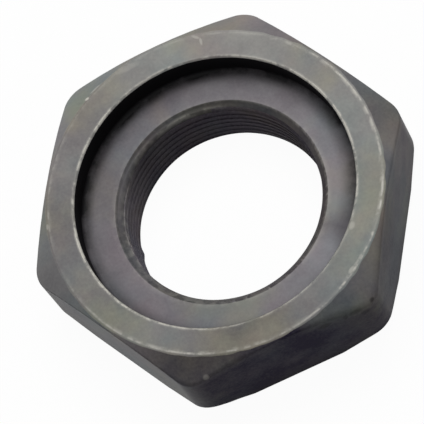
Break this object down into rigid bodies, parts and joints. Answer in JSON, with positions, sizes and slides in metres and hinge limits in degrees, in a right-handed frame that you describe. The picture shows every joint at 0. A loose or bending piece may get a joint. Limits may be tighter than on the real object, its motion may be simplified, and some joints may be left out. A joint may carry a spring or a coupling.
{
  "type": "sprocket nut",
  "caption": "Low hexagon nut with chamfered corners, a round recess in one face and a fine-threaded bore, for holding a sprocket on its shaft.",
  "frame": {"origin": "centre of the plain seat face, on the bore axis", "axes": "+Z along the bore axis from the seat towards the recessed rim, +X through a corner of the hexagon, two flats facing +Y and -Y"},
  "size_m": [0.0408, 0.036, 0.0103],
  "materials": {
    "nut_steel": "dark phosphate coat on machined steel, satin, bare along worn edges"
  },
  "bodies": {
    "root": {"sprocket_nut": "nut_steel"}
  },
  "joints": []
}
